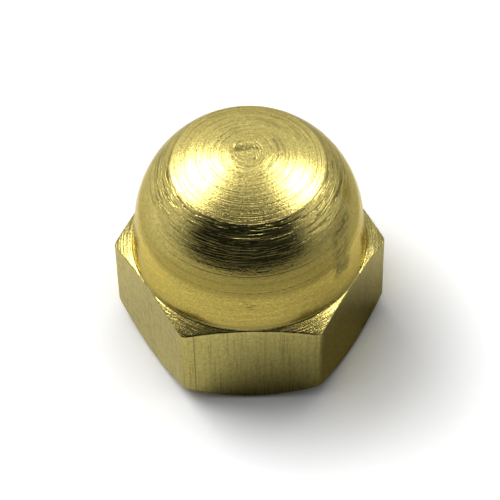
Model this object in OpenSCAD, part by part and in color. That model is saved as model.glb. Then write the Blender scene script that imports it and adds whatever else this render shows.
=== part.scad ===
// Domed cap nut, turned in one piece from drawn hexagon bar.
// Millimetres, +Z up, origin at the centre of the seat, corners on the X axis.

/* [Hexagon bar] */
// Distance across the flats
across_flats = 17; // [14:0.5:24]
// Height from the seat to the ledge, at the middle of a flat
hex_height = 8; // [5:0.1:11]
// How far the bar's six drawn corners fall short of sharp
corner_blunting = 0.06; // [0.02:0.01:0.5]

/* [Seat and ledge] */
// How far the flat seat ring stays inside the flats
seat_step = 0.4; // [0.1:0.05:1]
// Rise of the chamfer from the seat ring to the corners, in degrees
seat_chamfer = 40; // [15:1:45]
// Fall of the ledge from the crown to the corners, in degrees
ledge_fall = 25; // [5:1:40]

/* [Crown] */
// Height from the seat to the top of the nose
total_height = 17.4; // [14:0.1:24]
// How far the ball of the crown stays inside the flats
crown_step = 0.35; // [0.25:0.05:1]
// How far the foot of the crown's tapered wall stays inside the flats
foot_step = 0.06; // [0.04:0.01:0.2]
// Fillet between the crown's wall and the ledge
foot_fillet = 0.12; // [0.08:0.01:0.3]
// How deep the fillet's turning tool bit into the ledge
foot_undercut = 0.03; // [0.01:0.01:0.05]
// Diameter of the crease ring where the ball of the crown meets the flatter nose
crease_diameter = 10.8; // [6:0.1:13]
// Radius of the nose
nose_radius = 11.6; // [9:0.1:20]
// Diameter of the shallow dish that parting off left at the centre of the nose
dish_diameter = 2.2; // [0.8:0.1:4]
// Depth of the dish below its rim
dish_depth = 0.04; // [0.02:0.01:0.3]

/* [Tapped hole] */
// Nominal diameter of the thread
thread_diameter = 10; // [5:0.5:12]
// Pitch of the thread, which the tapping drill is smaller by
thread_pitch = 1.5; // [0.75:0.25:2]
// How far the countersink at the mouth reaches outside the thread
mouth_margin = 0.4; // [0.1:0.05:0.8]
// Full angle of the countersink
mouth_angle = 90; // [60:1:120]
// Full angle of the drill's point
drill_angle = 118; // [90:1:140]
// Metal left between the drill's point and the top of the nose
nose_wall = 1.9; // [1:0.1:5]

/* [Hidden] */
$fn = 96;

// Hexagon bar
flat_r = across_flats / 2;
corner_r = flat_r / cos(30);

// Seat and ledge
seat_r = flat_r - seat_step;
function chamfer_z(r) = (r - seat_r) * tan(seat_chamfer);
function ledge_z(r) = hex_height - (r - flat_r) * tan(ledge_fall);

// How far outlines that are tangent overlap, so that they join without slivers
lap = 0.0001;

// Crown: the nose cuts the ball at the crease
ball_r = flat_r - crown_step;
crease_r = crease_diameter / 2;
nose_z = total_height - nose_radius;
crease_z = nose_z + sqrt(nose_radius ^ 2 - crease_r ^ 2);
ball_z = crease_z - sqrt(ball_r ^ 2 - crease_r ^ 2);

// Crown's wall: it rises from its foot on the ledge, and is tangent to the ball
foot_r = flat_r - foot_step;
foot_z = ledge_z(foot_r);
ball_rise = ball_z - foot_z;
touch_r = ball_r - lap;
wall_taper = acos(touch_r / sqrt(foot_r ^ 2 + ball_rise ^ 2)) - atan2(ball_rise, foot_r);
wall_top_x = touch_r * cos(wall_taper);
wall_top_z = ball_z + touch_r * sin(wall_taper);

// Fillet at the crown's foot: tangent to the wall, and sunk into the ledge by the undercut
fillet_out = foot_fillet - lap;
fillet_lift = foot_fillet - foot_undercut;
fillet_x = foot_r
    + (fillet_out * cos(ledge_fall) - fillet_lift * sin(wall_taper)) / cos(wall_taper + ledge_fall);
fillet_z = foot_z
    + (fillet_lift * cos(wall_taper) - fillet_out * sin(ledge_fall)) / cos(wall_taper + ledge_fall);
sunk_x = fillet_x - fillet_lift * sin(ledge_fall);
runout_x = fillet_x - fillet_out * cos(wall_taper);
runout_z = fillet_z - fillet_out * sin(wall_taper);

// Dish: a ball that touches the rim circle and the bottom of the dish
dish_r = dish_diameter / 2;
dish_ball_r = (dish_r ^ 2 + dish_depth ^ 2) / (2 * dish_depth);
dish_rim_z = nose_z + sqrt(nose_radius ^ 2 - dish_r ^ 2);

// Tapped hole
drill_r = (thread_diameter - thread_pitch) / 2;
drill_point = drill_r / tan(drill_angle / 2);
drill_depth = total_height - nose_wall - drill_point;
mouth_r = thread_diameter / 2 + mouth_margin;
mouth_slope = tan(mouth_angle / 2);
mouth_depth = (mouth_r - drill_r) / mouth_slope;

// How far the hole's cut starts below the seat
overcut = 1;

// Section of the drawn bar
module bar_section() {
    intersection() {
        circle(corner_r, $fn = 6);
        circle(corner_r - corner_blunting);
    }
}

// Half section below the dome: seat, chamfer, ledge and the crown's wall
module body_profile() {
    polygon([
        [0, 0],
        [seat_r, 0],
        [corner_r, chamfer_z(corner_r)],
        [corner_r, ledge_z(corner_r)],
        [sunk_x, ledge_z(sunk_x)],
        [runout_x, runout_z],
        [wall_top_x, wall_top_z],
        [0, wall_top_z]
    ]);
}

// Half section of the dome: what the ball and the nose have in common above the crown's foot
module dome_profile() {
    intersection() {
        translate([0, ball_z])
            circle(ball_r);
        translate([0, nose_z])
            circle(nose_radius);
        translate([0, foot_z])
            square([corner_r, total_height]);
    }
}

// What the lathe leaves, before the bar's flats bound it
module turned_blank() {
    rotate_extrude()
        difference() {
            union() {
                body_profile();
                dome_profile();
            }
            translate([fillet_x, fillet_z])
                circle(foot_fillet);
        }
}

// Blind hole: countersunk mouth, wall of the tapping drill and drill point
module tapped_hole() {
    rotate_extrude()
        polygon([
            [0, -overcut],
            [mouth_r + overcut * mouth_slope, -overcut],
            [drill_r, mouth_depth],
            [drill_r, drill_depth],
            [0, drill_depth + drill_point]
        ]);
}

// Shallow dish at the centre of the nose
module centre_dish() {
    translate([0, 0, dish_rim_z - dish_depth + dish_ball_r])
        sphere(dish_ball_r);
}

module cap_nut() {
    color([0.71, 0.62, 0.31])
        difference() {
            intersection() {
                linear_extrude(total_height)
                    bar_section();
                turned_blank();
            }
            tapped_hole();
            centre_dish();
        }
}

cap_nut();
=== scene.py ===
from math import acos, asin, atan2, ceil, cos, hypot, pi, radians, sin, sqrt, tan

import bmesh
import bpy
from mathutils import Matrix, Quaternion, Vector, noise


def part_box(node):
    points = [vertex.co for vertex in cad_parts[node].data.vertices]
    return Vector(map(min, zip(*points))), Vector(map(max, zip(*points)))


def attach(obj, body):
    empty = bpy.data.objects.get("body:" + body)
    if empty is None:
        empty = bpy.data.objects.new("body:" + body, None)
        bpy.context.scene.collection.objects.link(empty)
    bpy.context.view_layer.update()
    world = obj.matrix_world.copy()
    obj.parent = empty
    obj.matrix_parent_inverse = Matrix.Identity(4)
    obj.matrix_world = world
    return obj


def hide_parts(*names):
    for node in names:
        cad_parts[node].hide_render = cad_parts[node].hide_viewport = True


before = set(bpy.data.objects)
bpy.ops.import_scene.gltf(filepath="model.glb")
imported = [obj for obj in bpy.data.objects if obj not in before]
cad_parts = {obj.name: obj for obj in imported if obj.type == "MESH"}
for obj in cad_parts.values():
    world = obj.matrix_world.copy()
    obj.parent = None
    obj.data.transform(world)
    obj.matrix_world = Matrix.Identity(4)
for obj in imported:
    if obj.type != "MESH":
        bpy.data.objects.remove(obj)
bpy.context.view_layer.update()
mm = 0.001

# sizes of the nut, in millimetres and degrees; the bar and the height come from the frame
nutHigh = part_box("cap_nut")[1] / mm
nut = {
    "flatR": nutHigh.y - 0.001,     # just inside the CAD box
    "rimZ": nutHigh.z,          # rim of the dish, the highest ring
    "hexHeight": 8.0,
    "cornerRound": 0.6,
    "seatR": 8.1,
    "seatChamfer": 40,
    "ledgeFall": 25,
    "ballR": 8.15,
    "footR": 8.44,              # foot of the crown's tapered wall
    "filletR": 0.12,
    "undercut": 0.03,           # how far the fillet dips below the ledge
    "creaseR": 5.4,
    "noseR": 11.6,
    "dishR": 1.1,
    "dishDepth": 0.04,
    "mouthR": 5.4,
    "drillR": 4.25,
    "drillDepth": 12.946,
    "drillTip": 15.5,
}
thread = {
    "majorR": 5.0,
    "pitch": 1.5,
    "rootFlat": 0.19,           # width of the groove's floor
    "flankAngle": 60,
    "endZ": 11.6,               # full depth up to here, then it runs out
    "runOut": 1.2,
}
mesh = {
    "columns": 240,             # a multiple of 6
    "cornerPull": 0.7,          # how much the columns crowd towards the corners
    "dishRows": 22,
    "domeRow": 0.1,             # heights of the rows on the crown and in the hole
    "threadRow": 0.09,
    "drillTipRow": 0.7,
    "filletRows": 5,
    "ledgeRows": 9,             # with the fillet's
    "leastLedge": 0.004,        # what is left of the ledge where the fillet is widest
    "roundRows": 5,             # of the rounded edge between the ledge and a flat
    "flatRows": (0.03, 0.12, 0.3, 0.5, 0.7, 0.88, 0.96, 0.984, 1),    # shares of the way down
    "chamferRows": (0.6, 0.25, 0),      # shares of the way out from the seat
    "seatRow": 6.9,
    "edgeLoop": 0.1,            # from a rounded edge to the next row on the seat
    "topEdge": 0.07,            # widths of the rounded edges
    "bottomEdge": 0.08,
    "seatEdge": 0.05,
    "crease": 0.03,
    "mouthEdge": 0.03,
}
near = 0.002                    # how close counts as lying on a ring
marks = {
    "ridgePitch": 0.42,         # coarse turning ridges, in geometry
    "ridgeDepth": 0.006,
    "ridgeBreaks": 0.8,         # how often they change on their way round
    "ridgeMargin": 0.2,         # how far they stay from the crown's foot and the dish
    "creaseMargin": 0.3,        # how far from the crease they reach their depth
    "swirl": 0.007,             # of the tool round the centre of the dish
    "swirlReach": 1.3,          # in radii of the dish
    "swirlRings": 5.5,          # per millimetre
    "swirlFade": 0.35,          # how far inside its reach it has its depth
    "swirlShare": 0.35,         # how much of the dish it covers
    "swirlCore": 0.05,          # radius inside which it evens out
    "rimSoft": 0.45,            # how far on each side the dish's rim is worn round
    "burrDepth": 0.03,
    "burrRate": (1.7, 0.5),     # nicks per millimetre, along the edge and upwards
}
# where the stub tore off in the dish: a wavy gash across it, wide on the left, and a small pit
tear = {
    "left": -1.15, "right": 1.15, "y": (0.38, 0.42), "width": (0.40, 0.25), "depth": 0.045,
    "waver": 0.1, "ends": (0.1, 0.3),           # how far it bends, and the shares of it that run out
    "pitX": 0.48, "pitY": -0.57, "pitR": 0.18, "pitDepth": 0.04,
    # its dark colour: where the gash and the pit fade out, and the torn outline
    "fadeAside": (0.3, 1.2), "fadeAlong": (0.8, 1.15), "fadePit": (0.06, 0.2),
    "ragged": 0.32, "raggedSize": 0.28,
    "lowZ": (16.5, 16.9),                       # and none below this
}

noseZ = nut["rimZ"] - sqrt(nut["noseR"] ** 2 - nut["dishR"] ** 2)
creaseZ = noseZ + sqrt(nut["noseR"] ** 2 - nut["creaseR"] ** 2)
ballZ = creaseZ - sqrt(nut["ballR"] ** 2 - nut["creaseR"] ** 2)
dishBallR = (nut["dishR"] ** 2 + nut["dishDepth"] ** 2) / (2 * nut["dishDepth"])
mouthDepth = nut["mouthR"] - nut["drillR"]       # a 90 degree countersink

# crown's wall: from its foot, tangent to the ball
# its fillet: tangent to the wall, and sunk in the ledge
fall = radians(nut["ledgeFall"])
footZ = nut["hexHeight"] - (nut["footR"] - nut["flatR"]) * tan(fall)
ballRise = ballZ - footZ
taper = acos(nut["ballR"] / hypot(nut["footR"], ballRise)) - atan2(ballRise, nut["footR"])
filletLift = nut["filletR"] - nut["undercut"]
filletX = nut["footR"] + (nut["filletR"] * cos(fall) - filletLift * sin(taper)) / cos(taper + fall)
filletZ = footZ + (filletLift * cos(taper) - nut["filletR"] * sin(fall)) / cos(taper + fall)
runOutX, runOutZ = filletX - nut["filletR"] * cos(taper), filletZ - nut["filletR"] * sin(taper)
ledgeR = filletX - filletLift * sin(fall) + sqrt(nut["filletR"] ** 2 - filletLift ** 2) * cos(fall)


def ledgeZ(r):
    # the fillet's floor, then the sloping ledge
    if r < ledgeR:
        return filletZ - sqrt(nut["filletR"] ** 2 - (filletX - r) ** 2)
    return nut["hexHeight"] - (r - nut["flatR"]) * tan(fall)


def chamferZ(r):
    return (r - nut["seatR"]) * tan(radians(nut["seatChamfer"]))


def barReach(angle):
    # distance from the axis to the bar's skin: a flat, or the round of a corner
    fromCorner = (angle + pi / 6) % (pi / 3) - pi / 6
    roundR = nut["cornerRound"]
    roundX = (nut["flatR"] - roundR) / cos(pi / 6)
    off = roundX * sin(fromCorner)
    if abs(fromCorner) < atan2(roundR / 2, roundX + roundR * cos(pi / 6)):
        return roundX * cos(fromCorner) + sqrt(roundR ** 2 - off ** 2)
    return nut["flatR"] / cos(pi / 6 - abs(fromCorner))


def arc(bm, tip, centreX, centreZ, turn, steps):
    spun = bmesh.ops.spin(bm, geom=[tip], cent=(centreX, 0, centreZ), axis=(0, 1, 0), angle=turn,
                          steps=steps)
    return next(g for g in spun["geom_last"] if isinstance(g, bmesh.types.BMVert))


def line(bm, tip, x, z, row=None):
    start, end = tip.co.copy(), Vector((x, 0, z))
    steps = ceil((end - start).length / row) if row else 1
    for step in range(steps):
        tip = bmesh.ops.extrude_vert_indiv(bm, verts=[tip])["verts"][0]
        tip.co = start.lerp(end, (step + 1) / steps)
    return tip


# where the rows of the ledge and the top edge wait, in order, until pushToBar gives them their places
topZ, roundGap = 7.9, 0.01
ledgeStop = nut["flatR"] - roundGap


def halfSection(bm):
    # the nut cut through the middle of a flat, from the dish down the outside and back up the hole
    row = mesh["domeRow"]
    flat = nut["flatR"]
    dishZ = nut["rimZ"] - nut["dishDepth"]
    tip = bm.verts.new((0, 0, dishZ))
    tip = arc(bm, tip, 0, dishZ + dishBallR, -asin(nut["dishR"] / dishBallR), mesh["dishRows"])
    noseTurn = asin(nut["creaseR"] / nut["noseR"]) - asin(nut["dishR"] / nut["noseR"])
    tip = arc(bm, tip, 0, noseZ, noseTurn, ceil(noseTurn * nut["noseR"] / row))
    ballTurn = pi / 2 - taper - asin(nut["creaseR"] / nut["ballR"])
    tip = arc(bm, tip, 0, ballZ, ballTurn, ceil(ballTurn * nut["ballR"] / row))
    tip = line(bm, tip, runOutX, runOutZ, row)
    ledgeRows = mesh["ledgeRows"]
    for step in range(ledgeRows):
        tip = line(bm, tip, runOutX + (ledgeStop - runOutX) * (step + 1) / ledgeRows, runOutZ)
    for step in range(mesh["roundRows"]):
        tip = line(bm, tip, flat, topZ - roundGap * step)
    low = chamferZ(flat)
    for share in mesh["flatRows"]:
        tip = line(bm, tip, flat, topZ + (low - topZ) * share)
    for share in mesh["chamferRows"]:
        r = nut["seatR"] + (flat - nut["seatR"]) * share
        tip = line(bm, tip, r, chamferZ(r))
    loop = mesh["edgeLoop"]
    for r in (nut["seatR"] - loop, mesh["seatRow"], nut["mouthR"] + loop, nut["mouthR"]):
        tip = line(bm, tip, r, 0)
    tip = line(bm, tip, nut["drillR"], mouthDepth, mesh["threadRow"] * sqrt(2))
    tip = line(bm, tip, nut["drillR"], nut["drillDepth"], mesh["threadRow"])
    line(bm, tip, 0, nut["drillTip"], mesh["drillTipRow"])


def ringEdges(bm, r, z):
    def onRing(v):
        return abs(hypot(v.co.x, v.co.y) - r) < near and abs(v.co.z - z) < near
    return [e for e in bm.edges if onRing(e.verts[0]) and onRing(e.verts[1])]


def crowdColumns(bm):
    # more columns near the six corners, fewer on the flats
    for v in bm.verts:
        r, angle = hypot(v.co.x, v.co.y), atan2(v.co.y, v.co.x)
        angle -= mesh["cornerPull"] / 6 * sin(6 * angle)
        v.co.x, v.co.y = r * cos(angle), r * sin(angle)


def roundingAt(edge):
    # the rounded edge is narrower where the ledge is
    return min(mesh["topEdge"], (edge - runOutX) / 2)


def ledgePoint(edge, row):
    # the first rows lie on the fillet, the rest on the ledge up to the rounded edge
    filletRows = mesh["filletRows"]
    ledgeEnd = edge - roundingAt(edge)
    filletEnd = min(ledgeR, ledgeEnd - mesh["leastLedge"])
    if row <= filletRows:
        r = runOutX + (filletEnd - runOutX) * row / filletRows
    else:
        r = filletEnd + (ledgeEnd - filletEnd) * (row - filletRows) / (mesh["ledgeRows"] - filletRows + 1)
    return r, ledgeZ(r)


def roundPoint(edge, share):
    # a curve from the ledge to the flat, with the sharp edge as its control point
    rounding = roundingAt(edge)
    a, b, c = (1 - share) ** 2, 2 * share * (1 - share), share ** 2
    r = a * (edge - rounding) + (b + c) * edge
    return r, a * ledgeZ(edge - rounding) + b * ledgeZ(edge) + c * (ledgeZ(edge) - rounding)


def pushToBar(bm):
    # moves what lies outside the crown out to the bar's flats and corners
    flat, seat = nut["flatR"], nut["seatR"]
    low = chamferZ(flat)
    roundSteps = mesh["roundRows"] - 1
    roundedLow = topZ - roundGap * (roundSteps + 0.5)
    topEdge = []
    for v in bm.verts:
        r, z, angle = hypot(v.co.x, v.co.y), v.co.z, atan2(v.co.y, v.co.x)
        edge = barReach(angle)
        if abs(z - runOutZ) < near and runOutX + near < r < flat - near:
            newR, newZ = ledgePoint(edge, round((r - runOutX) / (ledgeStop - runOutX) * mesh["ledgeRows"]))
        elif r > flat - near and z > roundedLow:
            newR, newZ = roundPoint(edge, (topZ - z) / roundGap / roundSteps)
            topEdge.append(v)
        elif r > flat - near:
            flatTop = ledgeZ(edge) - mesh["topEdge"]
            newR = edge
            newZ = chamferZ(edge) + (z - low) / (topZ - low) * (flatTop - chamferZ(edge))
        elif r > seat and z < low:
            newR = seat + (r - seat) / (flat - seat) * (edge - seat)
            newZ = chamferZ(newR)
        else:
            continue
        v.co = (newR * cos(angle), newR * sin(angle), newZ)
    return topEdge


def cutThread(bm):
    # a right-hand groove, as deep as the tap reaches past the drilled wall
    deepest = thread["majorR"] - nut["drillR"]
    flank = tan(radians(thread["flankAngle"] / 2))
    for v in bm.verts:
        r, angle = hypot(v.co.x, v.co.y), atan2(v.co.y, v.co.x)
        inHole = nut["drillR"] - near < r < thread["majorR"] and v.co.z < nut["drillDepth"] - near
        if not inHole:
            continue
        turn = v.co.z / thread["pitch"] - angle / (2 * pi)
        fromGroove = abs(turn - round(turn)) * thread["pitch"]
        depth = min(deepest, deepest - (fromGroove - thread["rootFlat"] / 2) / flank)
        fade = min(1, max(0, (thread["endZ"] + thread["runOut"] - v.co.z) / thread["runOut"]))
        newR = max(r, nut["drillR"] + depth * fade - deepest * (1 - fade))
        v.co.x, v.co.y = newR * cos(angle), newR * sin(angle)


def turnRidges(bm):
    # coarse rings left by the lathe, nearly all of them below the true form
    bm.normal_update()
    margin = marks["ridgeMargin"]
    shifts = []
    for v in bm.verts:
        r = hypot(v.co.x, v.co.y)
        outside = v.normal.z > -0.1     # and not in the hole, which faces down
        if outside and v.co.z > runOutZ + margin and r > nut["dishR"] + margin:
            path = r - v.co.z
            around = Vector((v.co.x / r, v.co.y / r, 0)) * marks["ridgeBreaks"]
            wave = noise.noise(around + Vector((0, 0, path / marks["ridgePitch"])))
            fromCrease = abs(r - nut["creaseR"]) + abs(v.co.z - creaseZ)
            fade = min(1, fromCrease / marks["creaseMargin"])
            shifts.append((v, -v.normal * marks["ridgeDepth"] * (0.5 + wave) * fade))
    for v, shift in shifts:
        v.co += shift


def tearDish(bm):
    # the tool's swirl, the worn rim, the gash and the pit
    reach = nut["dishR"] * marks["swirlReach"]
    bend = asin(nut["dishR"] / dishBallR) + asin(nut["dishR"] / nut["noseR"])
    for v in bm.verts:
        x, y = v.co.x, v.co.y
        r = hypot(x, y)
        if r < reach and v.co.z > creaseZ:
            turnR = max(r, marks["swirlCore"])
            swirl = noise.noise(Vector((x / turnR, y / turnR, r * marks["swirlRings"])))
            fade = min(1, (reach - r) / marks["swirlFade"])
            drop = marks["swirl"] * fade * max(0, marks["swirlShare"] + swirl)
            drop += bend / 4 / marks["rimSoft"] * max(0, marks["rimSoft"] - abs(r - nut["dishR"])) ** 2
            along = (x - tear["left"]) / (tear["right"] - tear["left"])
            width = tear["width"][0] + (tear["width"][1] - tear["width"][0]) * along
            middle = tear["y"][0] + (tear["y"][1] - tear["y"][0]) * along
            waver = tear["waver"] * noise.noise(Vector((x * 2.2, 0.4, 2.2)))
            aside = (y - middle - waver) / width
            if 0 < along < 1 and abs(aside) < 1:
                rugged = 0.75 + 0.6 * noise.noise(Vector((x * 5, y * 7, 1.3)))
                runOut = min(1, along / tear["ends"][0], (1 - along) / tear["ends"][1])
                drop += tear["depth"] * (1 - aside ** 2) * runOut * rugged
            fromPit = hypot(x - tear["pitX"], y - tear["pitY"]) / tear["pitR"]
            drop += tear["pitDepth"] * max(0, 1 - fromPit ** 2)
            v.co.z -= drop


def nickEdges(verts):
    # small burrs and nicks along the edges of the flats
    across, upwards = marks["burrRate"]
    for v in verts:
        nick = noise.noise(Vector((v.co.x * across, v.co.y * across, v.co.z * upwards)))
        inward = Vector((v.co.x, v.co.y, 0)).normalized()
        v.co -= inward * marks["burrDepth"] * max(0, nick)


def roundEdges(bm, edges, width):
    bmesh.ops.bevel(bm, geom=edges, offset=width, offset_type="OFFSET", segments=3, profile=0.5,
                    affect="EDGES", material=-1, clamp_overlap=False)


def zoneOf(face):
    # 0 turned outside, 1 drawn flats, 2 tapped hole
    c = face.calc_center_median()
    r = hypot(c.x, c.y)
    inward = face.normal.x * c.x + face.normal.y * c.y < 0
    if r < nut["mouthR"] and c.z < nut["drillTip"] and (inward or face.normal.z < 0):
        return 2
    onSkin = r > nut["flatR"] - 0.1
    upright = abs(face.normal.z) < 0.1
    return 1 if onSkin and upright else 0


def makeCapNut():
    bm = bmesh.new()
    halfSection(bm)
    bmesh.ops.spin(bm, geom=bm.verts[:] + bm.edges[:], cent=(0, 0, 0), axis=(0, 0, 1), angle=2 * pi,
                   steps=mesh["columns"], use_merge=True)
    bmesh.ops.remove_doubles(bm, verts=bm.verts[:], dist=0.0004)
    bmesh.ops.recalc_face_normals(bm, faces=bm.faces[:])
    print("section spun,", len(bm.faces), "faces")

    flat = nut["flatR"]
    rings = {
        "bottomEdge": ringEdges(bm, flat, chamferZ(flat)),
        "seatEdge": ringEdges(bm, nut["seatR"], 0),
        "crease": ringEdges(bm, nut["creaseR"], creaseZ),
        "mouthEdge": ringEdges(bm, nut["mouthR"], 0),
    }
    crowdColumns(bm)
    topEdge = pushToBar(bm)
    nickEdges(topEdge)
    cutThread(bm)
    turnRidges(bm)
    tearDish(bm)
    for name in rings:
        roundEdges(bm, rings[name], mesh[name])
    print("bar, thread and edges shaped,", len(bm.faces), "faces")

    for face in bm.faces:
        face.smooth = True
        face.material_index = zoneOf(face)
    bmesh.ops.scale(bm, vec=(mm, mm, mm), verts=bm.verts[:])
    bmesh.ops.recalc_face_normals(bm, faces=bm.faces[:])
    data = bpy.data.meshes.new("capNut")
    bm.to_mesh(data)
    bm.free()
    piece = bpy.data.objects.new("capNut", data)
    bpy.context.scene.collection.objects.link(piece)
    return piece


def addNode(tree, kind, **settings):
    node = tree.nodes.new(kind)
    for name, value in settings.items():
        setattr(node, name, value)
    return node


def math(tree, operation, first, second=None):
    node = addNode(tree, "ShaderNodeMath", operation=operation)
    for socket, value in zip(node.inputs, (first, second)):
        if hasattr(value, "is_output"):
            tree.links.new(value, socket)
        elif value is not None:
            socket.default_value = value
    return node.outputs[0]


def millimetres(tree):
    # object coordinates, turned from metres to millimetres
    place = addNode(tree, "ShaderNodeTexCoord")
    scale = addNode(tree, "ShaderNodeVectorMath", operation="SCALE")
    scale.inputs["Scale"].default_value = 1 / mm
    tree.links.new(place.outputs["Object"], scale.inputs[0])
    return scale.outputs[0]


def newGroup(name, inputs, outputs):
    group = bpy.data.node_groups.new(name, "ShaderNodeTree")
    for socket, value in inputs.items():
        made = group.interface.new_socket(socket, in_out="INPUT", socket_type="NodeSocketFloat")
        made.default_value = value
    for socket in outputs:
        group.interface.new_socket(socket, in_out="OUTPUT", socket_type="NodeSocketFloat")
    return group, addNode(group, "NodeGroupInput"), addNode(group, "NodeGroupOutput")


def makeTurningMarks():
    # rings round the axis that fade in and out on their way round
    group, given, put = newGroup("turningMarks", {"Pitch": 0.15, "Breaks": 1.5, "Sharp": 0.1},
                                 ("Height", "Mask", "Path"))
    links = group.links.new
    flatten = addNode(group, "ShaderNodeVectorMath", operation="MULTIPLY")
    flatten.inputs[1].default_value = (1, 1, 0)
    here = millimetres(group)
    links(here, flatten.inputs[0])
    around = addNode(group, "ShaderNodeVectorMath", operation="NORMALIZE")
    links(flatten.outputs[0], around.inputs[0])
    radius = addNode(group, "ShaderNodeVectorMath", operation="LENGTH")
    links(flatten.outputs[0], radius.inputs[0])
    split = addNode(group, "ShaderNodeSeparateXYZ")
    links(here, split.inputs[0])
    path = math(group, "SUBTRACT", radius.outputs["Value"], split.outputs["Z"])
    links(path, put.inputs["Path"])
    spread = addNode(group, "ShaderNodeVectorMath", operation="SCALE")
    links(around.outputs[0], spread.inputs[0])
    links(given.outputs["Breaks"], spread.inputs["Scale"])
    lift = addNode(group, "ShaderNodeCombineXYZ")
    links(math(group, "DIVIDE", path, given.outputs["Pitch"]), lift.inputs["Z"])
    ring = addNode(group, "ShaderNodeVectorMath", operation="ADD")
    links(spread.outputs[0], ring.inputs[0])
    links(lift.outputs[0], ring.inputs[1])
    grooves = addNode(group, "ShaderNodeTexNoise", noise_dimensions="3D")
    grooves.inputs["Scale"].default_value = 1
    grooves.inputs["Detail"].default_value = 1
    links(ring.outputs[0], grooves.inputs["Vector"])
    # narrow cuts where the noise peaks
    peak, cutDepth = 0.54, 0.35
    cut = addNode(group, "ShaderNodeMapRange", interpolation_type="SMOOTHSTEP")
    cut.inputs["From Min"].default_value = peak
    links(math(group, "ADD", given.outputs["Sharp"], peak), cut.inputs["From Max"])
    links(grooves.outputs["Fac"], cut.inputs["Value"])
    links(cut.outputs["Result"], put.inputs["Mask"])
    links(math(group, "SUBTRACT", grooves.outputs["Fac"],
               math(group, "MULTIPLY", cut.outputs["Result"], cutDepth)), put.inputs["Height"])
    return group


def makeGrain():
    # fine speckle of the worked metal
    group, given, put = newGroup("grain", {"Size": 0.12}, ("Height", "Mask"))
    size = addNode(group, "ShaderNodeVectorMath", operation="SCALE")
    group.links.new(millimetres(group), size.inputs[0])
    group.links.new(math(group, "DIVIDE", 1, given.outputs["Size"]), size.inputs["Scale"])
    speckle = addNode(group, "ShaderNodeTexNoise", noise_dimensions="3D")
    speckle.inputs["Scale"].default_value = 1
    speckle.inputs["Detail"].default_value = 2
    group.links.new(size.outputs[0], speckle.inputs["Vector"])
    group.links.new(speckle.outputs["Fac"], put.inputs["Height"])
    group.links.new(rangeOf(group, speckle.outputs["Fac"], (0.32, 0.68), (0, 1)), put.inputs["Mask"])
    return group


def makeDrawingStreaks():
    # fine lines along the bar, from the drawing die
    group, given, put = newGroup("drawingStreaks", {"Width": 0.15, "Length": 7}, ("Height", "Mask"))
    links = group.links.new
    split = addNode(group, "ShaderNodeSeparateXYZ")
    links(millimetres(group), split.inputs[0])
    stretch = addNode(group, "ShaderNodeCombineXYZ")
    links(math(group, "DIVIDE", split.outputs["X"], given.outputs["Width"]), stretch.inputs["X"])
    links(math(group, "DIVIDE", split.outputs["Y"], given.outputs["Width"]), stretch.inputs["Y"])
    links(math(group, "DIVIDE", split.outputs["Z"], given.outputs["Length"]), stretch.inputs["Z"])
    streaks = addNode(group, "ShaderNodeTexNoise", noise_dimensions="3D")
    streaks.inputs["Scale"].default_value = 1
    streaks.inputs["Detail"].default_value = 3
    streaks.inputs["Roughness"].default_value = 0.6
    links(stretch.outputs[0], streaks.inputs["Vector"])
    links(streaks.outputs["Fac"], put.inputs["Height"])
    sharp = addNode(group, "ShaderNodeMapRange", interpolation_type="SMOOTHSTEP")
    sharp.inputs["From Min"].default_value = 0.5
    sharp.inputs["From Max"].default_value = 0.7
    links(streaks.outputs["Fac"], sharp.inputs["Value"])
    links(sharp.outputs["Result"], put.inputs["Mask"])
    return group


def makeTarnish():
    # broad patches where the brass has dulled
    group, given, put = newGroup("tarnish", {"Patch": 3.0}, ("Mask",))
    links = group.links.new
    size = addNode(group, "ShaderNodeVectorMath", operation="SCALE")
    links(millimetres(group), size.inputs[0])
    links(math(group, "DIVIDE", 1, given.outputs["Patch"]), size.inputs["Scale"])
    patches = addNode(group, "ShaderNodeTexNoise", noise_dimensions="3D")
    patches.inputs["Scale"].default_value = 1
    patches.inputs["Detail"].default_value = 4
    patches.inputs["Roughness"].default_value = 0.55
    links(size.outputs[0], patches.inputs["Vector"])
    soft = addNode(group, "ShaderNodeMapRange", interpolation_type="SMOOTHSTEP")
    soft.inputs["From Min"].default_value = 0.4
    soft.inputs["From Max"].default_value = 0.68
    links(patches.outputs["Fac"], soft.inputs["Value"])
    links(soft.outputs["Result"], put.inputs["Mask"])
    return group


def placeGroup(tree, group, **values):
    node = addNode(tree, "ShaderNodeGroup", node_tree=group)
    for name, value in values.items():
        node.inputs[name].default_value = value
    return node


def newFinish(name, look):
    # brass with dull patches; the tool's own marks are joined on by each finish
    mat = bpy.data.materials.new(name)
    mat.use_nodes = True
    tree = mat.node_tree
    shader = tree.nodes["Principled BSDF"]
    shader.inputs["Metallic"].default_value = 1
    shader.inputs["Specular Tint"].default_value = (*look["edge"], 1)
    dull = placeGroup(tree, groups["tarnish"], Patch=look["patch"])
    return mat, tree, shader, mixColour(tree, look["bright"], look["dull"], dull.outputs["Mask"]), dull


def mixColour(tree, first, second, factor):
    mix = addNode(tree, "ShaderNodeMix", data_type="RGBA")
    sockets = [s for s in mix.inputs if s.type == "RGBA"]
    for socket, value in zip(sockets, (first, second)):
        if hasattr(value, "is_output"):
            tree.links.new(value, socket)
        else:
            socket.default_value = (*value, 1)
    tree.links.new(factor, mix.inputs["Factor"])
    return next(s for s in mix.outputs if s.type == "RGBA")


def rangeOf(tree, value, fromRange, toRange):
    node = addNode(tree, "ShaderNodeMapRange", interpolation_type="SMOOTHSTEP")
    for socket, number in zip(("From Min", "From Max", "To Min", "To Max"), (*fromRange, *toRange)):
        node.inputs[socket].default_value = number
    tree.links.new(value, node.inputs["Value"])
    return node.outputs["Result"]


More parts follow.
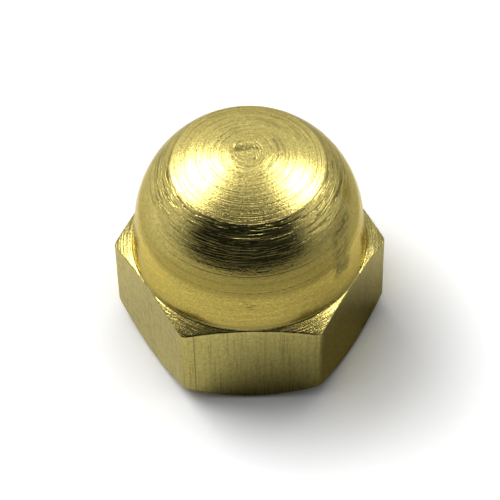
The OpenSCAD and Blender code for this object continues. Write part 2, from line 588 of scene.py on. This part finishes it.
def addBump(tree, shader, height, depth):
    bump = addNode(tree, "ShaderNodeBump")
    bump.inputs["Strength"].default_value = 1
    bump.inputs["Distance"].default_value = depth * mm
    tree.links.new(height, bump.inputs["Height"])
    tree.links.new(bump.outputs["Normal"], shader.inputs["Normal"])


turnedLook = {
    "bright": (0.88, 0.735, 0.235), "dull": (0.78, 0.65, 0.20), "groove": (0.28, 0.235, 0.075),
    "edge": (0.95, 0.88, 0.62), "patch": 0.5,
    "noseZ": (15.95, 16.15), "noseRough": 0.24,             # above the crease
    "noseTint": 0.85,                                       # share of the rings' darkness there
    "footZ": (10.5, 14.2), "foot": (0.65, 0.503, 0.110),    # a deeper gold low on the crown
    "footY": (-7, -4), "footLift": 1.2,                     # it reaches higher in front
    "calmZ": (13.0, 15.4), "calmBump": 0.2,                 # where the rings get shallower
    "harshZ": (13.6, 14.6), "harsh": 0.7, "harshBump": 0.3,     # darker, deeper rings up to the crease
    "ledgeZ": (8.0, 8.3), "ledgeRough": 0.16, "ledgeGrain": 0.4, "ledgeTint": 0.42,
    "creaseShadeZ": (8.2, 8.7), "creaseShade": 0.7,                     # painted shade: darker where the crown meets the ledge
    "hazeZ": (8.3, 9.6), "haze": 0.14,                      # and rougher above it
    # a strip down the right of the crown with harsher rings and a painted dark reflection, which fades at
    # its sides and ends
    "stripX": 6.4, "stripSides": (0.2, 0.85), "stripZ": (9.7, 14.1), "stripEnds": (-0.8, 0.2),
    "stripY": (-3, -1.8), "stripSize": 0.6, "stripHarsh": 2.2, "stripShade": 0.5,
    "stainAt": (6.85, -1.2, 14.25), "stainSize": (0.3, 1.1), "stain": (0.64, 0.45, 0.09), "stainTint": 0.7,
    "rough": 0.06, "dullRough": 0.04,
    "coarse": 0.19, "fine": 0.09, "grain": 0.16,            # pitches of the rings, size of the speckle
    "cutShare": (0.7, 0.5), "fineBump": 0.6,                # coarse and fine rings' shares
    "breaks": (2.5, 0.8),                                   # how often rings break, on ball and nose
    "grooveTint": 0.6, "grainTint": 0.38, "bump": 0.022, "grainBump": 0.40,
    # deep rings in front: place along the section, width, strength
    "lines": ((-5.42, 0.08, 0.6), (-4.55, 0.16, 0.6), (-3.69, 0.08, 0.9)),
    # scuffs in front: x, z, half length
    "scuffs": ((-0.42, 10.84, 0.22), (-0.10, 10.66, 0.30), (0.20, 10.50, 0.34), (-0.12, 10.34, 0.30),
               (0.10, 10.14, 0.38)),
    "scuffWidth": (0.02, 0.07), "scuffWaver": 0.22,
    "frontY": (-5, -3), "wornSize": 0.3,                    # where these marks are, and their breaks
    "markTint": 0.95, "markBump": 0.4,                      # of the marks in front and the tear
}


def band(tree, value, centre, inner, outer):
    # 1 where the value is within inner of the centre, 0 beyond outer
    away = math(tree, "ABSOLUTE", math(tree, "SUBTRACT", value, centre))
    return rangeOf(tree, away, (inner, outer), (1, 0))


def product(tree, *values):
    result = values[0]
    for value in values[1:]:
        result = math(tree, "MULTIPLY", result, value)
    return result


def tornPatch(tree, split):
    # mask of the gash and the pit in the dish, with ragged edges
    x, y, z = (split.outputs[axis] for axis in "XYZ")
    width = rangeOf(tree, x, (tear["left"], tear["right"]), tear["width"])
    middle = rangeOf(tree, x, (tear["left"], tear["right"]), tear["y"])
    ragged = placeGroup(tree, groups["grain"], Size=tear["raggedSize"])
    ragged = math(tree, "MULTIPLY", math(tree, "SUBTRACT", ragged.outputs["Height"], 0.5), tear["ragged"])
    aside = math(tree, "ADD", math(tree, "ABSOLUTE", math(tree, "SUBTRACT", y, middle)), ragged)
    gash = product(tree, rangeOf(tree, math(tree, "DIVIDE", aside, width), tear["fadeAside"], (1, 0)),
                   band(tree, x, (tear["left"] + tear["right"]) / 2, *tear["fadeAlong"]))
    pit = product(tree, band(tree, x, tear["pitX"], *tear["fadePit"]),
                  band(tree, y, tear["pitY"], *tear["fadePit"]))
    return product(tree, math(tree, "MAXIMUM", gash, pit), rangeOf(tree, z, tear["lowZ"], (0, 1)))


def frontMarks(tree, split, path):
    # mask of the deep rings and the scuffs on the camera's side of the crown
    look = turnedLook
    x, y, z = (split.outputs[axis] for axis in "XYZ")
    inFront = rangeOf(tree, y, look["frontY"], (1, 0))
    worn = placeGroup(tree, groups["grain"], Size=look["wornSize"])
    broken = product(tree, rangeOf(tree, worn.outputs["Height"], (0.38, 0.56), (0.45, 1)), inFront)
    waver = math(tree, "MULTIPLY", math(tree, "SUBTRACT", worn.outputs["Height"], 0.5), look["scuffWaver"])
    wavyZ = math(tree, "ADD", z, waver)
    marked = 0
    for markX, markZ, halfLength in look["scuffs"]:
        scuff = product(tree, band(tree, x, markX, halfLength * 0.6, halfLength),
                        band(tree, wavyZ, markZ, *look["scuffWidth"]), broken)
        marked = math(tree, "MAXIMUM", scuff, marked)
    for place, width, strength in look["lines"]:
        ring = product(tree, band(tree, path, place, width * 0.3, width), broken, strength)
        marked = math(tree, "MAXIMUM", ring, marked)
    return marked


def harshAndShadedStrip(tree, split):
    # mask of the strip where the rings are harsher and a dark reflection is painted, broken into patches
    look = turnedLook
    x, y, z = (split.outputs[axis] for axis in "XYZ")
    low, high = look["stripZ"]
    ends = [(high - low) / 2 + past for past in look["stripEnds"]]
    worn = placeGroup(tree, groups["grain"], Size=look["stripSize"])
    patchy = rangeOf(tree, worn.outputs["Height"], (0.35, 0.55), (0.4, 1))
    return product(tree, band(tree, x, look["stripX"], *look["stripSides"]),
                   rangeOf(tree, y, look["stripY"], (1, 0)),
                   band(tree, z, (low + high) / 2, *ends), patchy)


def harshness(tree, z, strip, onNose, extra):
    # 1 low on the crown, and more towards the crease and on the strip; the nose is spared
    byHeight = rangeOf(tree, z, turnedLook["harshZ"], (1, 1 + extra))
    onStrip = math(tree, "SUBTRACT", product(tree, strip, turnedLook["stripHarsh"]), onNose)
    return math(tree, "ADD", byHeight, math(tree, "MULTIPLY", onStrip, extra))


def makeTurnedBrass():
    look = turnedLook
    mat, tree, shader, colour, dull = newFinish("turnedBrass", look)
    coarse = placeGroup(tree, groups["turningMarks"], Pitch=look["coarse"], Sharp=0.06)
    fine = placeGroup(tree, groups["turningMarks"], Pitch=look["fine"], Sharp=0.12)
    grain = placeGroup(tree, groups["grain"], Size=look["grain"])
    split = addNode(tree, "ShaderNodeSeparateXYZ")
    tree.links.new(millimetres(tree), split.inputs[0])
    z = split.outputs["Z"]
    onNose = rangeOf(tree, z, look["noseZ"], (0, 1))
    for rings in (coarse, fine):
        tree.links.new(rangeOf(tree, onNose, (0, 1), look["breaks"]), rings.inputs["Breaks"])
    onLedge = rangeOf(tree, z, look["ledgeZ"], (1, 0))
    lift = rangeOf(tree, split.outputs["Y"], look["footY"], (look["footLift"], 0))
    lifted = math(tree, "SUBTRACT", z, lift)
    onFoot = math(tree, "SUBTRACT", rangeOf(tree, lifted, look["footZ"], (1, 0)), onLedge)
    strip = harshAndShadedStrip(tree, split)
    calm = math(tree, "MAXIMUM", rangeOf(tree, z, look["calmZ"], (look["calmBump"], 1)), onLedge)
    calm = math(tree, "MAXIMUM", calm, strip)

    colour = mixColour(tree, colour, look["foot"], onFoot)
    fromStain = addNode(tree, "ShaderNodeVectorMath", operation="DISTANCE")
    fromStain.inputs[1].default_value = look["stainAt"]
    tree.links.new(millimetres(tree), fromStain.inputs[0])
    stained = rangeOf(tree, fromStain.outputs["Value"], look["stainSize"], (look["stainTint"], 0))
    colour = mixColour(tree, colour, look["stain"], stained)
    single = math(tree, "MAXIMUM", frontMarks(tree, split, coarse.outputs["Path"]),
                  tornPatch(tree, split))
    coarseShare, fineShare = look["cutShare"]
    cuts = math(tree, "ADD", math(tree, "MULTIPLY", coarse.outputs["Mask"], coarseShare),
                math(tree, "MULTIPLY", fine.outputs["Mask"], fineShare))
    harsh = harshness(tree, z, strip, onNose, look["harsh"])
    harshBump = harshness(tree, z, strip, onNose, look["harshBump"])
    cuts = product(tree, cuts, harsh, rangeOf(tree, onNose, (0, 1), (1, look["noseTint"])))
    tint = math(tree, "ADD", product(tree, cuts, calm, look["grooveTint"]),
                math(tree, "MULTIPLY", grain.outputs["Mask"], look["grainTint"]))
    tint = math(tree, "ADD", tint, math(tree, "MULTIPLY", onLedge, look["ledgeTint"]))
    # painted dark reflection down the right of the crown
    tint = math(tree, "ADD", tint, math(tree, "MULTIPLY", strip, look["stripShade"]))
    # painted shade: the crease where the crown meets the ledge is darkened in the colour
    creaseShade = math(tree, "SUBTRACT", rangeOf(tree, z, look["creaseShadeZ"], (look["creaseShade"], 0)), onLedge)
    tint = math(tree, "MAXIMUM", math(tree, "MAXIMUM", tint, creaseShade),
                math(tree, "MULTIPLY", single, look["markTint"]))
    tree.links.new(mixColour(tree, colour, look["groove"], tint), shader.inputs["Base Color"])

    rough = math(tree, "ADD", rangeOf(tree, onNose, (0, 1), (look["rough"], look["noseRough"])),
                 math(tree, "MULTIPLY", dull.outputs["Mask"], look["dullRough"]))
    rough = math(tree, "ADD", rough, math(tree, "MULTIPLY", onLedge, look["ledgeRough"] - look["rough"]))
    haze = math(tree, "MULTIPLY", rangeOf(tree, z, look["hazeZ"], (look["haze"], 0)),
                rangeOf(tree, z, look["ledgeZ"], (0, 1)))
    rough = math(tree, "ADD", rough, haze)
    tree.links.new(rough, shader.inputs["Roughness"])
    height = math(tree, "ADD", math(tree, "MULTIPLY", fine.outputs["Height"], look["fineBump"]),
                  coarse.outputs["Height"])
    speckle = rangeOf(tree, onLedge, (0, 1), (look["grainBump"], look["ledgeGrain"]))
    height = math(tree, "ADD", product(tree, height, calm, harshBump),
                  product(tree, grain.outputs["Height"], speckle))
    height = math(tree, "SUBTRACT", height, math(tree, "MULTIPLY", single, look["markBump"]))
    addBump(tree, shader, height, look["bump"])
    return mat


drawnLook = {
    "bright": (0.63, 0.535, 0.165), "dull": (0.57, 0.485, 0.15), "groove": (0.27, 0.235, 0.08),
    "edge": (0.97, 0.93, 0.78), "patch": 0.4,
    "grooveTint": 0.5, "grainTint": 0.35, "roughness": (0.16, 0.26), "bump": 0.012,
    # scored lines on the front flat, which linesY picks out: x, width, strength
    "lines": ((-4.03, 0.07, 0.9), (-0.33, 0.05, 0.3), (0.30, 0.05, 0.3), (4.54, 0.06, 0.6)),
    "linesY": (-8.45, -8.3),
}


def makeDrawnBrass():
    look = drawnLook
    mat, tree, shader, colour, dull = newFinish("drawnBrass", look)
    streaks = placeGroup(tree, groups["drawingStreaks"], Width=0.09, Length=3.5)
    grain = placeGroup(tree, groups["grain"], Size=0.18)
    split = addNode(tree, "ShaderNodeSeparateXYZ")
    tree.links.new(millimetres(tree), split.inputs[0])
    tint = math(tree, "ADD", math(tree, "MULTIPLY", streaks.outputs["Mask"], look["grooveTint"]),
                math(tree, "MULTIPLY", grain.outputs["Mask"], look["grainTint"]))
    inFront = rangeOf(tree, split.outputs["Y"], look["linesY"], (1, 0))
    for place, width, strength in look["lines"]:
        scored = band(tree, split.outputs["X"], place, width * 0.4, width)
        score = product(tree, scored, inFront, strength)
        tint = math(tree, "MAXIMUM", tint, score)
    tree.links.new(mixColour(tree, colour, look["groove"], tint), shader.inputs["Base Color"])
    rough = rangeOf(tree, dull.outputs["Mask"], (0, 1), look["roughness"])
    tree.links.new(rough, shader.inputs["Roughness"])
    height = math(tree, "ADD", streaks.outputs["Height"], grain.outputs["Height"])
    addBump(tree, shader, height, look["bump"])
    return mat


tappedLook = {
    "bright": (0.66, 0.53, 0.17), "dull": (0.50, 0.39, 0.11), "groove": (0.40, 0.31, 0.09),
    "edge": (0.95, 0.85, 0.55), "patch": 1.5,
    "grooveTint": 0.5, "roughness": (0.25, 0.40), "bump": 0.006,
}


def makeTappedBrass():
    look = tappedLook
    mat, tree, shader, colour, dull = newFinish("tappedBrass", look)
    rings = placeGroup(tree, groups["turningMarks"], Pitch=0.1, Breaks=1.0, Sharp=0.1)
    tint = math(tree, "MULTIPLY", rings.outputs["Mask"], look["grooveTint"])
    tree.links.new(mixColour(tree, colour, look["groove"], tint), shader.inputs["Base Color"])
    rough = rangeOf(tree, dull.outputs["Mask"], (0, 1), look["roughness"])
    tree.links.new(rough, shader.inputs["Roughness"])
    addBump(tree, shader, rings.outputs["Height"], look["bump"])
    return mat


groups = {
    "turningMarks": makeTurningMarks(),
    "drawingStreaks": makeDrawingStreaks(),
    "grain": makeGrain(),
    "tarnish": makeTarnish(),
}
finishes = [makeTurnedBrass(), makeDrawnBrass(), makeTappedBrass()]    # in the order of zoneOf
print("brass finishes made")

capNut = makeCapNut()
for finish in finishes:
    capNut.data.materials.append(finish)
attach(capNut, "root")
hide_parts("cap_nut")
print("cap nut made,", len(capNut.data.vertices), "vertices")

# studio, in metres; azimuth is from the camera side, positive to the right
studio = {
    "floorR": 1.2, "floorColour": (0.90, 0.90, 0.90),
    "floorGlow": (0.6, 0.80),   # how much whiter the floor looks, mirrored and seen, away from the nut
    "contact": (10, 2.5),       # how fast that fades towards the nut's foot, mirrored and seen: a painted contact shadow
    "contactReach": 0.012,      # how far from the foot it starts to fade
    "shallow": (0.31, 0.40),    # reflections at a flatter slant than this don't get it
    "horizon": 0.74, "zenith": 0.25,
    "fill": 0.05,               # share of the tent's light that the floor and other matt things get
    "boxes": {
        "keyLeft": {"azimuth": -129, "elevation": 50, "distance": 0.26, "width": 0.12, "height": 0.125,
                    "radiance": 8.5, "on": "metal"},
        "keyHalo": {"azimuth": -130, "elevation": 49, "distance": 0.27, "width": 0.21, "height": 0.20,
                    "radiance": 0.5, "on": "metal"},
        "kickRight": {"azimuth": 117, "elevation": 52.5, "distance": 0.26, "width": 0.114, "height": 0.11,
                      "radiance": 8.5, "on": "metal"},
        "kickHalo": {"azimuth": 118, "elevation": 51, "distance": 0.27, "width": 0.19, "height": 0.16,
                     "radiance": 0.45, "on": "metal"},
        "backPanel": {"azimuth": 180, "elevation": 67, "distance": 0.26, "width": 0.22, "height": 0.11,
                      "radiance": 0.52, "on": "metal"},
        "floorKey": {"azimuth": -130, "elevation": 48, "distance": 0.60, "width": 0.40, "height": 0.40,
                     "radiance": 3.7, "on": "floor"},
        "floorSide": {"azimuth": -116, "elevation": 46, "distance": 0.14, "width": 0.09, "height": 0.09,
                      "radiance": 2.75, "on": "floor"},
    },
    # a dark card in front: half width and height in degrees, where it starts to fade and where it ends
    "flag": {"radius": 0.25, "azimuth": -4, "side": (46, 88), "top": (66, 88),
             "colour": (0.060, 0.071, 0.086), "steps": (10, 24)},
}


def direction(azimuth, elevation):
    a, e = radians(azimuth), radians(elevation)
    return Vector((cos(e) * sin(a), -cos(e) * cos(a), sin(e)))


def plainMaterial(name, colour, roughness):
    mat = bpy.data.materials.new(name)
    mat.use_nodes = True
    shader = mat.node_tree.nodes["Principled BSDF"]
    shader.inputs["Base Color"].default_value = (*colour, 1)
    shader.inputs["Roughness"].default_value = roughness
    shader.inputs["Specular IOR Level"].default_value = 0
    return mat


def stageObject(name, bm, mat):
    data = bpy.data.meshes.new(name)
    bm.to_mesh(data)
    bm.free()
    data.materials.append(mat)
    thing = bpy.data.objects.new(name, data)
    bpy.context.scene.collection.objects.link(thing)
    return thing


def makeFloor():
    mat = plainMaterial("paleFloor", studio["floorColour"], 0.9)
    tree = mat.node_tree
    shader = tree.nodes["Principled BSDF"]
    # the floor glows softly where it is seen, mirrored or looked at through glass, clear of the nut;
    # towards the nut the glow fades, a painted contact shadow
    rays = addNode(tree, "ShaderNodeLightPath")
    toCamera = rays.outputs["Is Camera Ray"]
    seen = math(tree, "MAXIMUM", toCamera, rays.outputs["Is Glossy Ray"])
    seen = math(tree, "MAXIMUM", seen, rays.outputs["Is Transmission Ray"])
    nearby = addNode(tree, "ShaderNodeAmbientOcclusion", samples=8)
    nearby.inputs["Distance"].default_value = studio["contactReach"]
    tilt = addNode(tree, "ShaderNodeLayerWeight")
    steep = rangeOf(tree, tilt.outputs["Facing"], studio["shallow"], (1, 0))
    above = math(tree, "MAXIMUM", steep, toCamera)
    # painted contact shadow: the glow fades where the occlusion node finds the nut close
    clear = math(tree, "POWER", nearby.outputs["AO"], rangeOf(tree, toCamera, (0, 1), studio["contact"]))
    glow = product(tree, clear, rangeOf(tree, toCamera, (0, 1), studio["floorGlow"]), above, seen)
    shader.inputs["Emission Color"].default_value = (1, 1, 1, 1)
    tree.links.new(glow, shader.inputs["Emission Strength"])
    bm = bmesh.new()
    bmesh.ops.create_circle(bm, cap_ends=True, radius=studio["floorR"], segments=96)
    return stageObject("floor", bm, mat)


def makeFlagMaterial():
    # dark in the middle, fading to clear at the sides and the top
    flag = studio["flag"]
    mat = plainMaterial("darkCard", flag["colour"], 0.9)
    tree = mat.node_tree
    place = addNode(tree, "ShaderNodeTexCoord")
    split = addNode(tree, "ShaderNodeSeparateXYZ")
    tree.links.new(place.outputs["Object"], split.inputs[0])
    aside = math(tree, "ABSOLUTE", math(tree, "ARCTAN2", split.outputs["X"],
                                        math(tree, "MULTIPLY", split.outputs["Y"], -1)))
    up = math(tree, "ARCSINE", math(tree, "DIVIDE", split.outputs["Z"], flag["radius"]))
    dark = math(tree, "MULTIPLY", rangeOf(tree, aside, [radians(a) for a in flag["side"]], (1, 0)),
                rangeOf(tree, up, [radians(a) for a in flag["top"]], (1, 0)))
    clear = addNode(tree, "ShaderNodeBsdfTransparent")
    mix = addNode(tree, "ShaderNodeMixShader")
    tree.links.new(dark, mix.inputs[0])
    tree.links.new(clear.outputs[0], mix.inputs[1])
    tree.links.new(tree.nodes["Principled BSDF"].outputs[0], mix.inputs[2])
    tree.links.new(mix.outputs[0], tree.nodes["Material Output"].inputs["Surface"])
    return mat


def makeFlag():
    # a curved card behind the camera, which the dome mirrors as its dark band
    flag = studio["flag"]
    side, top = flag["side"][1], flag["top"][1]
    rows, columns = flag["steps"]
    bm = bmesh.new()
    foot = bm.verts.new(direction(-side, 0) * flag["radius"])
    bmesh.ops.spin(bm, geom=[foot], cent=(0, 0, 0), axis=direction(-side - 90, 0),
                   angle=radians(top), steps=rows)
    bmesh.ops.spin(bm, geom=bm.verts[:] + bm.edges[:], cent=(0, 0, 0), axis=(0, 0, 1),
                   angle=radians(side * 2), steps=columns)
    card = stageObject("flag", bm, makeFlagMaterial())
    card.rotation_euler.z = radians(flag["azimuth"])
    card.visible_camera = False
    return card


def makeSoftbox(name, box):
    lamp = bpy.data.lights.new(name, "AREA")
    lamp.shape = "RECTANGLE"
    lamp.size, lamp.size_y = box["width"], box["height"]
    lamp.energy = box["radiance"] * pi * box["width"] * box["height"]
    holder = bpy.data.objects.new(name, lamp)
    toBox = direction(box["azimuth"], box["elevation"])
    holder.location = toBox * box["distance"]
    holder.rotation_mode = "QUATERNION"
    holder.rotation_quaternion = toBox.to_track_quat("Z", "Y")
    holder.visible_diffuse = box["on"] == "floor"
    holder.visible_glossy = box["on"] == "metal"
    bpy.context.scene.collection.objects.link(holder)


def makeWorld():
    # a light tent: bright round the horizon, dimmer overhead
    world = bpy.data.worlds.new("tent")
    bpy.context.scene.world = world
    world.use_nodes = True
    tree = world.node_tree
    place = addNode(tree, "ShaderNodeTexCoord")
    split = addNode(tree, "ShaderNodeSeparateXYZ")
    tree.links.new(place.outputs["Generated"], split.inputs[0])
    ramp = addNode(tree, "ShaderNodeValToRGB")
    ramp.color_ramp.elements[0].position = 0.5
    ramp.color_ramp.elements[0].color = (*[studio["horizon"]] * 3, 1)
    ramp.color_ramp.elements[1].position = 0.97
    ramp.color_ramp.elements[1].color = (*[studio["zenith"]] * 3, 1)
    tree.links.new(split.outputs["Z"], ramp.inputs["Fac"])
    back = tree.nodes["Background"]
    tree.links.new(ramp.outputs["Color"], back.inputs["Color"])
    # seen, mirrored or through glass the tent is at full strength, and it fills shadows only a little
    rays = addNode(tree, "ShaderNodeLightPath")
    seen = math(tree, "MAXIMUM", rays.outputs["Is Camera Ray"], rays.outputs["Is Glossy Ray"])
    seen = math(tree, "MAXIMUM", seen, rays.outputs["Is Transmission Ray"])
    tree.links.new(math(tree, "MAXIMUM", seen, studio["fill"]), back.inputs["Strength"])


makeFloor()
makeFlag()
for boxName, box in studio["boxes"].items():
    makeSoftbox(boxName, box)
makeWorld()
print("studio set")

# the photograph's view, in millimetres and degrees
view = {
    "azimuth": 0.2, "elevation": 51.108, "roll": -1.249, "distance": 179.7, "aimX": 0.0165, "aimZ": 6.542,
    "lens": 178.84, "sensor": 36,
}


def makeCamera():
    lens = bpy.data.cameras.new("camera")
    lens.lens = view["lens"]
    lens.sensor_width = view["sensor"]
    lens.clip_start = 0.01
    lens.clip_end = 10
    camera = bpy.data.objects.new("camera", lens)
    back = direction(view["azimuth"], view["elevation"])
    camera.location = (Vector((view["aimX"], 0, view["aimZ"])) + back * view["distance"]) * mm
    camera.rotation_mode = "QUATERNION"
    tilt = Quaternion((0, 0, 1), radians(view["roll"]))
    camera.rotation_quaternion = (-back).to_track_quat("-Z", "Y") @ tilt
    bpy.context.scene.collection.objects.link(camera)
    bpy.context.scene.camera = camera


makeCamera()
bpy.context.scene.view_settings.view_transform = "Standard"
print("camera set")
